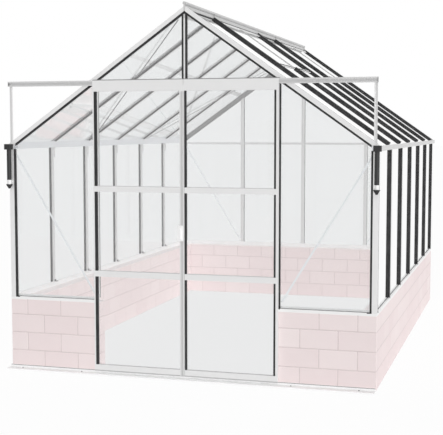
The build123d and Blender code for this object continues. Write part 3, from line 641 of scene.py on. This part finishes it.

# Bottom track: a bright flat plate with a guide rib, drawn in one and screwed down on each side of the
# doorway. A thin dark strip along the top of the rib is painted shade.
rib_shade_height = 0.005
rib_shade_proud = 0.0005
rib_shade_arris = 0.0002
track_plate = 0.008
screw_places = (-1.38, -0.86, 0.86, 1.38)
screw_to_rib = 0.030
screw_radius = 0.007
screw_crown_radius = 0.0049
screw_height = 0.004
screw_sides = 16
dress(satin_metal("track_aluminium", bright=0.93, dull=0.87, metallic=0.10, rough=0.40), "bottom_track")
track_low, track_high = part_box("bottom_track")
rib_shade_foot = track_high.z - rib_shade_height
rib_face = min(vert.co.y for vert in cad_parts["bottom_track"].data.vertices if vert.co.z > rib_shade_foot)
# painted shade: a thin dark strip along the top of the track's rib
bm = bmesh.new()
add_box(bm, (track_low.x, rib_face - rib_shade_proud, rib_shade_foot),
        (track_high.x, rib_face + rib_shade_proud, track_high.z - rib_shade_proud), rib_shade_arris)
for screw_x in screw_places:
    screw_stand = Matrix.Translation((screw_x, rib_face - screw_to_rib, track_plate + screw_height / 2))
    bmesh.ops.create_cone(bm, cap_ends=True, segments=screw_sides, radius1=screw_radius,
                          radius2=screw_crown_radius, depth=screw_height, matrix=screw_stand)
finished(bm, "track_screws_and_shade_line", cleat_finish)

# Sliding doors: glazing beads close the foot of each pane, and a grey brush strip is pressed along the foot
# of each leaf; its grey is painted shade for the gap under the leaf. A black seal lies beside the outer stile
# of the left one. Covers clipped on the two stiles that meet are painted darker towards the meeting edge,
# as painted shade.
bead_height = 0.003
bead_lap = 0.0005
bead_set_back = 0.001
door_bead_arris = 0.0006
brush_height = 0.009
brush_proud = 0.001
brush_shade_dark = 0.44
brush_shade_pale = 0.54
pile_scale = 900.0
pile_roughness = 0.9
bead_metal = satin_metal("bead_aluminium", bright=0.54, dull=0.46, metallic=0.3, rough=0.36)
# painted shade: the brush strip's grey stands for the shade in the gap under each leaf
brush_pile, place = new_finish("brush_pile")
pile = place.noise(pile_scale, detail=2.0)
close_finish(brush_pile, place.node("BsdfPrincipled", {}, {
    "Base Color": pile.blend(grey(brush_shade_dark), grey(brush_shade_pale)), "Roughness": pile_roughness,
    "Normal": pile.bump(strength=0.2, distance=0.001)}))


def levels(name):
    """The heights at which a piece has corners, lowest first."""
    return sorted({round(vert.co.z, 4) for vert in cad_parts[name].data.vertices})


for leaf in ("left_door", "right_door"):
    pane_low, pane_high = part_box(leaf + "_glass")
    leaf_low, leaf_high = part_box(leaf + "_frame")
    bm = bmesh.new()
    for foot in levels(leaf + "_glass")[::2]:
        add_box(bm, (pane_low.x, leaf_low.y + bead_set_back, foot - bead_lap),
                (pane_high.x, pane_low.y, foot + bead_height), door_bead_arris)
    finished(bm, leaf + "_beads", bead_metal, leaf)
    bm = bmesh.new()
    add_box(bm, (leaf_low.x, leaf_low.y - brush_proud, leaf_low.z),
            (leaf_high.x, leaf_low.y + brush_proud, leaf_low.z + brush_height), brush_proud / 2)
    finished(bm, leaf + "_shade_brush", brush_pile, leaf)

seal_lap = 0.007
seal_proud = 0.001
strip_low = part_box("left_door_strips")[0]
strip_levels = levels("left_door_strips")
bm = bmesh.new()
for foot, head in zip(strip_levels[::2], strip_levels[1::2]):
    add_box(bm, (strip_low.x - seal_lap, strip_low.y - seal_proud, foot),
            (strip_low.x + seal_proud, strip_low.y + seal_proud, head), seal_proud / 2)
finished(bm, "left_stile_seal", rubber, "left_door")

cover_painted_light = 0.78
cover_painted_shade = 0.53
cover_shade_edge = 0.010
cover_roughness = 0.3
rub_scale = 30.0
cover_proud = 0.0015
cover_clip = 0.002
cover_lift = 0.004
cover_drop = 0.052
cover_edge_gap = 0.0005
cover_arris = 0.0012
meeting_arris = 0.0005
stile_low, stile_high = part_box("left_door_frame")
cover_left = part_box("left_door_glass")[1].x
cover_head = rail_low.z - cover_drop
# painted shade: the stile covers are painted darker towards the meeting edge
cover_metal, place = new_finish("stile_cover")
shade_across = place.along("X").clamped(cover_left, stile_high.x - cover_shade_edge)
rub = place.noise(rub_scale, detail=3.0)
close_finish(cover_metal, place.node("BsdfPrincipled", {}, {
    "Base Color": shade_across.blend(grey(cover_painted_light), grey(cover_painted_shade)), "Metallic": 0.2,
    "Roughness": rub * 0.15 + cover_roughness}))
bm = bmesh.new()
add_box(bm, (cover_left, stile_low.y - cover_proud, stile_low.z + cover_lift),
        (stile_high.x - cover_edge_gap, stile_low.y + cover_clip, cover_head), cover_arris)
finished(bm, "stile_cover", cover_metal, "left_door")
meeting_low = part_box("right_door_frame")[0]
meeting_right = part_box("right_door_glass")[0].x
bm = bmesh.new()
add_box(bm, (meeting_low.x, meeting_low.y - cover_proud, meeting_low.z + cover_lift),
        (meeting_right, meeting_low.y + cover_clip, cover_head), meeting_arris)
finished(bm, "meeting_edge", cover_metal, "right_door")

# Hanging rollers, handle, downpipes and collars: moulded plastics with a soft gloss, pushed or screwed on.
# The handle's grip stands on a plate with three ribs, screwed over the edge of the meeting stile.
pipe_black = (0.016, 0.016, 0.017, 1)
pipe_black_dull = (0.010, 0.010, 0.011, 1)
roller_cream = (0.76, 0.75, 0.72, 1)
roller_cream_dull = (0.68, 0.67, 0.65, 1)
collar_white = 0.90
collar_white_dull = 0.85
moulded_skin_scale = 700.0
moulded_cloud_scale = 18.0


def moulded(name, colour, darker, rough):
    """Moulded plastic: an even colour, a fine spark-eroded skin and a soft gloss."""
    finish, place = new_finish(name)
    skin = place.noise(moulded_skin_scale, detail=2.0)
    cloud = place.noise(moulded_cloud_scale, detail=3.0)
    return close_finish(finish, place.node("BsdfPrincipled", {}, {
        "Base Color": cloud.blend(darker, colour), "Roughness": skin * 0.12 + rough,
        "Normal": skin.bump(strength=0.08, distance=0.0004)}))


dress(moulded("black_plastic", pipe_black, pipe_black_dull, rough=0.50), "downpipes")
dress(moulded("roller_plastic", roller_cream, roller_cream_dull, rough=0.40),
      "left_door_rollers", "right_door_rollers")
white_plastic = moulded("white_plastic", grey(collar_white), grey(collar_white_dull), rough=0.35)
dress(white_plastic, "downpipe_collars", "door_handle")

plate_lap = 0.022
plate_thick = 0.005
rib_count = 3
rib_gap = 0.004
grip_low, grip_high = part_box("door_handle")
rib_pitch = (grip_high.z - grip_low.z) / rib_count
bm = bmesh.new()
for rib in range(rib_count):
    foot = grip_low.z + rib * rib_pitch
    add_box(bm, (cover_left - plate_lap, stile_low.y - plate_thick, foot),
            (stile_high.x - cover_proud, stile_low.y - cover_proud, foot + rib_pitch - rib_gap), cover_proud)
finished(bm, "handle_plate", white_plastic, "left_door")

# Floor, light and camera: a plain pale floor that keeps the shadow of one soft lamp, with two fills that
# cast none. The background is white, and a shade lower through panes. The camera has the photograph's
# viewpoint.
floor_drop = 0.001
floor_half = 120.0
floor_shade = (0.93, 0.92, 0.92, 1)
floor_white_share = 0.95
one_pane_white = (0.862, 0.864, 0.867, 1)
more_panes_white = (0.940, 0.944, 0.948, 1)
sky_light = 0.445
bm = bmesh.new()
bmesh.ops.create_grid(bm, x_segments=1, y_segments=1, size=floor_half,
                      matrix=Matrix.Translation((0, 0, -floor_drop)))
mesh = bpy.data.meshes.new("floor")
bm.to_mesh(mesh)
bm.free()
floor = bpy.data.objects.new("floor", mesh)
bpy.context.scene.collection.objects.link(floor)


def seen_rays(field):
    """1 for rays that show the background: straight, in a reflection or through glass."""
    straight = field.node("LightPath", {}, {}, "Is Camera Ray")
    mirrored = field.node("LightPath", {}, {}, "Is Glossy Ray")
    through = field.node("LightPath", {}, {}, "Is Transmission Ray")
    return (straight + mirrored + through).clamped(0.0, 1.0)


def backdrop(field):
    """White in the open, and a shade lower where it is seen through panes."""
    faces = field.node("LightPath", {}, {}, "Transparent Depth")
    near = faces.clamped(0.0, 1.0).blend(grey(1.0), one_pane_white)
    return faces.clamped(2.0, 5.0).blend(near, more_panes_white)


floor_white, place = new_finish("floor_white")
shadowed = place.node("BsdfDiffuse", {}, {"Color": floor_shade})
white = place.node("Emission", {}, {"Color": backdrop(place), "Strength": 1.0})
close_finish(floor_white, place.node("MixShader", {}, {
    0: seen_rays(place) * floor_white_share, 1: shadowed, 2: white}))
mesh.materials.append(floor_white)

world = bpy.data.worlds.new("studio")
bpy.context.scene.world = world
world.use_nodes = True
world.node_tree.nodes.clear()
place = Field(world.node_tree.nodes.new("ShaderNodeTexCoord").outputs["Object"])
sky = place.node("Background", {}, {
    "Color": seen_rays(place).blend(grey(sky_light), backdrop(place)), "Strength": 1.0})
output = world.node_tree.nodes.new("ShaderNodeOutputWorld")
world.node_tree.links.new(sky.socket, output.inputs["Surface"])

# Each lamp: name, strength, tilt and turn in degrees, and whether it casts a shadow.
lamp_spread = 40
lamps = (("soft_key", 0.3, 35, 25, True),
         ("even_fill", 1.8, 75, 51, False),
         ("back_fill", 0.9, 90, 231, False))
for lamp_name, energy, tilt, turn, casts_shadow in lamps:
    sun = bpy.data.lights.new(lamp_name, "SUN")
    sun.energy = energy
    sun.angle = math.radians(lamp_spread)
    sun.use_shadow = casts_shadow
    lamp = bpy.data.objects.new(lamp_name, sun)
    lamp.rotation_euler = (math.radians(tilt), 0, math.radians(turn))
    bpy.context.scene.collection.objects.link(lamp)

camera_right = 2.557
camera_away = 7.758
camera_height = 1.950
camera_yaw = 16.24
camera_pitch = 4.768
film_width = 36.0
focal_length = 85.65
lens = bpy.data.cameras.new("viewpoint")
lens.sensor_fit = "HORIZONTAL"
lens.sensor_width = film_width
lens.lens = focal_length
camera = bpy.data.objects.new("viewpoint", lens)
camera.matrix_world = (Matrix.Translation((camera_right, wall_front - camera_away, camera_height))
                       @ Matrix.Rotation(math.radians(camera_yaw), 4, "Z")
                       @ Matrix.Rotation(math.radians(90 - camera_pitch), 4, "X"))
bpy.context.scene.collection.objects.link(camera)
bpy.context.scene.camera = camera
bpy.context.scene.view_settings.view_transform = "Standard"

bpy.context.view_layer.update()
